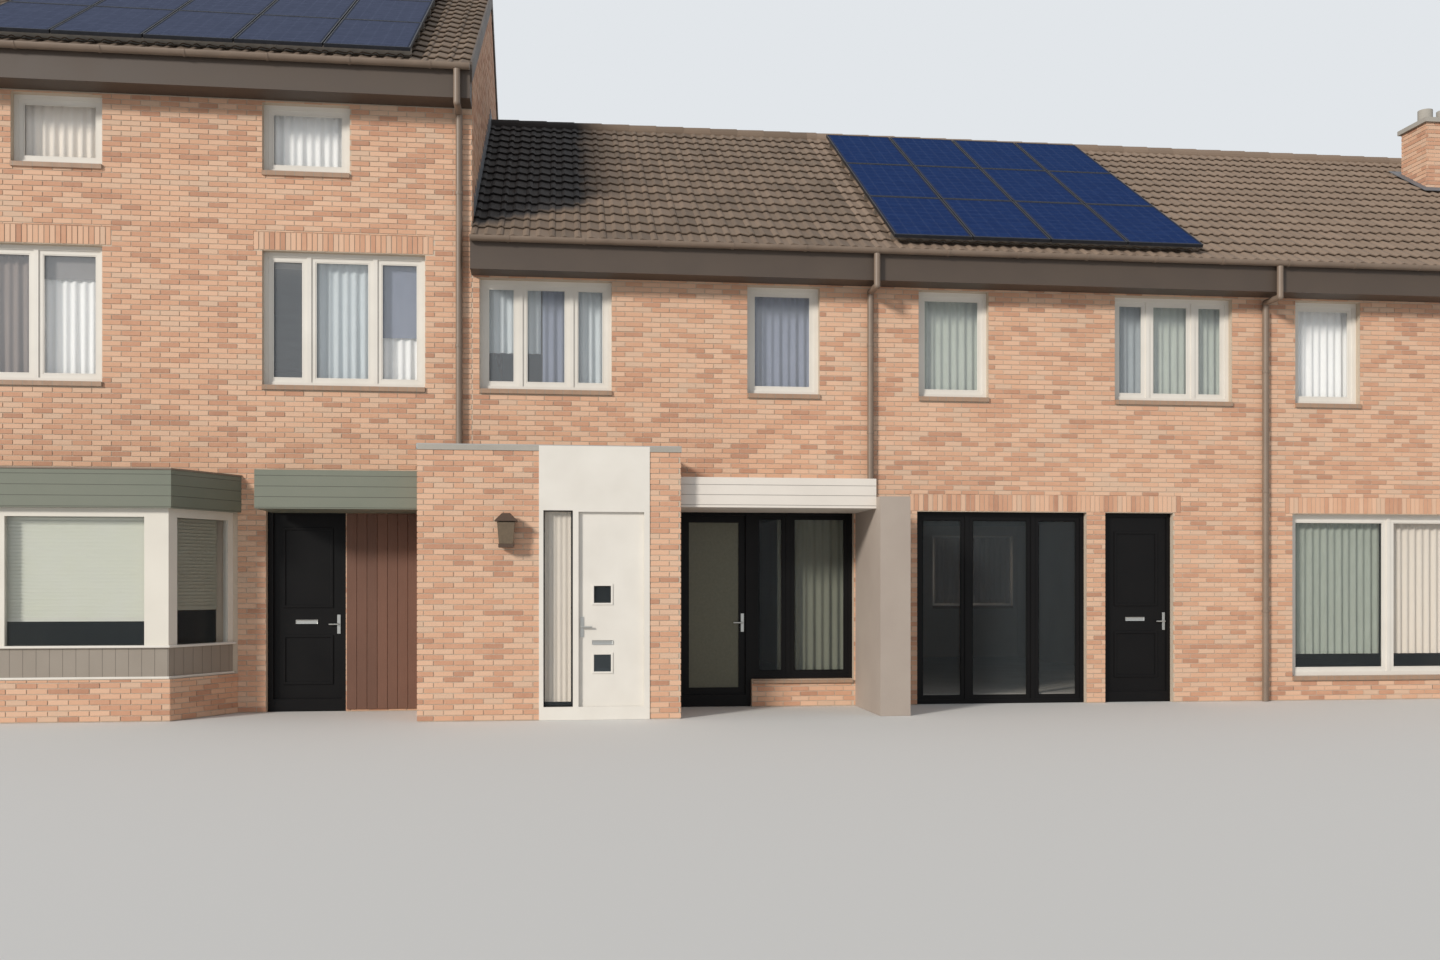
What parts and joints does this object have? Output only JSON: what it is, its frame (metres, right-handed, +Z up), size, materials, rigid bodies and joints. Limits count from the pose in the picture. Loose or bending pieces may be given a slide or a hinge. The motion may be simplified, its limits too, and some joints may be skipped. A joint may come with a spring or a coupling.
{
  "type": "terraced house row",
  "caption": "Row of brick terraced houses with pitched tiled roofs, a bay window, porches, an entrance hall and hinged front doors.",
  "frame": {"origin": "on the ground, in the middle of the wall between the second and third house, under the ridge", "axes": "+X along the row to the right as seen from the street, -Y towards the street, +Z up"},
  "size_m": [21.848, 10.39, 10.7496],
  "materials": {
    "brick": "rough pale orange facing brick with light joints",
    "concrete": "plain concrete",
    "roof_tile": "matt brown concrete roof tiles",
    "eaves_paint": "dark brown painted boards",
    "rainwater": "dark grey brown gutters and pipes",
    "white_frame": "white painted frames, satin",
    "glass": "clear double glazing",
    "bay_paint": "grey green painted boards",
    "sill": "glazed clay sill tiles",
    "dark_frame": "near black painted frames and doors",
    "render": "grey brown smooth render",
    "door_handle": "satin aluminium lever handles",
    "white_board": "white painted canopy boards",
    "hall_edge": "grey roof edge trim",
    "solar_panel": "blue cells under glass",
    "panel_rail": "mill finish rails"
  },
  "bodies": {
    "houses": {"party_walls": "brick", "front_wall_1": "brick", "front_wall_2": "brick", "front_wall_3": "brick", "front_wall_4": "brick", "front_piers": "brick", "back_walls": "brick", "ground_floors": "concrete", "upper_floors": "concrete", "hall_and_bay_floors": "concrete", "roof_1": "roof_tile", "roof_2": "roof_tile", "roof_3": "roof_tile", "roof_4": "roof_tile", "ridge_caps": "roof_tile", "verge_boards": "eaves_paint", "eaves_boards": "eaves_paint", "gutters": "rainwater", "downpipes": "rainwater", "window_frames": "white_frame", "window_glass": "glass", "window_sills": "sill", "bay_wall": "brick", "bay_frame": "white_frame", "bay_glass": "glass", "bay_roof": "bay_paint", "porch_canopy_1": "bay_paint", "door_frame_1": "dark_frame", "hall_front_wall": "brick", "hall_side_walls": "brick", "hall_roof": "hall_edge", "door_frame_2": "white_frame", "porch_canopy_2": "white_board", "porch_side_wall": "render", "dark_frames": "dark_frame", "fixed_doors": "dark_frame", "solar_panels_1": "solar_panel", "solar_panels_3": "solar_panel", "panel_rails": "panel_rail", "chimney": "brick", "chimney_cap": "concrete"},
    "black_door": {"door_1": "dark_frame", "door_1_handles": "door_handle"},
    "white_door": {"door_2": "white_frame", "door_2_light": "glass", "door_2_handles": "door_handle"},
    "glazed_door": {"glazed_door_2": "dark_frame", "glazed_door_2_pane": "glass", "glazed_door_2_handles": "door_handle"}
  },
  "joints": [
    {"name": "black_door_hinge", "type": "hinge", "parent": "houses", "child": "black_door", "pos_m": [-7.322, -4.112, 1.2], "axis": [0, 0, 1], "range_deg": [0, 90]},
    {"name": "white_door_hinge", "type": "hinge", "parent": "houses", "child": "white_door", "pos_m": [-2.923, -5.517, 1.2], "axis": [0, 0, -1], "range_deg": [0, 90]},
    {"name": "glazed_door_hinge", "type": "hinge", "parent": "houses", "child": "glazed_door", "pos_m": [-2.377, -4.112, 1.2], "axis": [0, 0, 1], "range_deg": [0, 90]}
  ]
}
